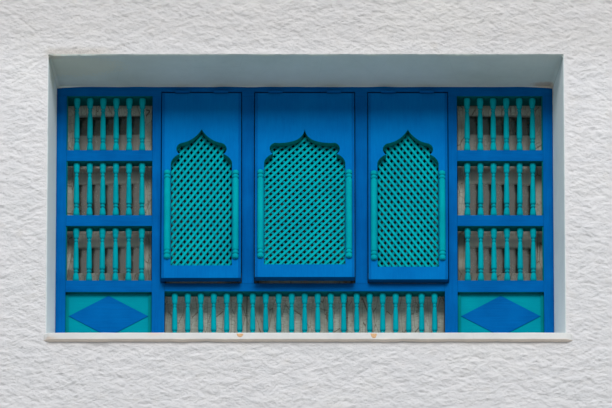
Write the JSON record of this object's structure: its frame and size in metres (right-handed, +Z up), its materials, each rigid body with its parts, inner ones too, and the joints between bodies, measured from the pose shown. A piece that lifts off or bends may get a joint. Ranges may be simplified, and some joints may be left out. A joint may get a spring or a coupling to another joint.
{
  "type": "lattice window with turned balusters in a wall niche",
  "caption": "Painted timber window of latticed, top hung leaves between rows of turned balusters, set back in a rendered masonry niche with a sloping sill.",
  "frame": {"origin": "middle of the footprint, on the underside of the wall block", "axes": "+X to the right seen from the street, +Y into the wall, +Z up"},
  "size_m": [3.12, 0.54, 2.38],
  "materials": {
    "render": "rough white trowelled render",
    "sill_plaster": "smooth white painted plaster, chipped at the edge",
    "blue_paint": "bright blue gloss paint on timber",
    "teal_paint": "teal gloss paint on timber",
    "hinge_paint": "blue paint over steel",
    "weathered_wood": "old off-white paint on timber, dirty",
    "weathered_boards": "old off-white paint on boards, cracked",
    "glass": "dusty dark window glass"
  },
  "bodies": {
    "root": {"wall_left": "render", "wall_right": "render", "wall_below": "render", "wall_head": "render", "sill": "sill_plaster", "frame_head": "blue_paint", "frame_stile_left": "blue_paint", "frame_stile_right": "blue_paint", "frame_bottom_rail": "blue_paint", "frame_centre_rail": "blue_paint", "mullion_outer_left": "blue_paint", "mullion_outer_right": "blue_paint", "mullion_inner_left": "blue_paint", "mullion_inner_right": "blue_paint", "rails_left": "blue_paint", "rails_right": "blue_paint", "panel_left": "teal_paint", "panel_right": "teal_paint", "diamond_left": "blue_paint", "diamond_right": "blue_paint", "balusters_left_bottom": "teal_paint", "balusters_left_middle": "teal_paint", "balusters_left_top": "teal_paint", "balusters_right_bottom": "teal_paint", "balusters_right_middle": "teal_paint", "balusters_right_top": "teal_paint", "balusters_centre": "teal_paint", "inner_frame": "weathered_wood", "inner_casement_left": "weathered_wood", "inner_casement_right": "weathered_wood", "inner_casements_centre": "weathered_wood", "inner_glass": "glass", "inner_boards": "weathered_boards", "leaf_left_board": "blue_paint", "leaf_left_lattice": "teal_paint", "leaf_left_columns": "teal_paint", "leaf_left_hinges": "hinge_paint", "leaf_centre_board": "blue_paint", "leaf_centre_lattice": "teal_paint", "leaf_centre_columns": "teal_paint", "leaf_centre_hinges": "hinge_paint", "leaf_right_board": "blue_paint", "leaf_right_lattice": "teal_paint", "leaf_right_columns": "teal_paint", "leaf_right_hinges": "hinge_paint"}
  },
  "joints": []
}
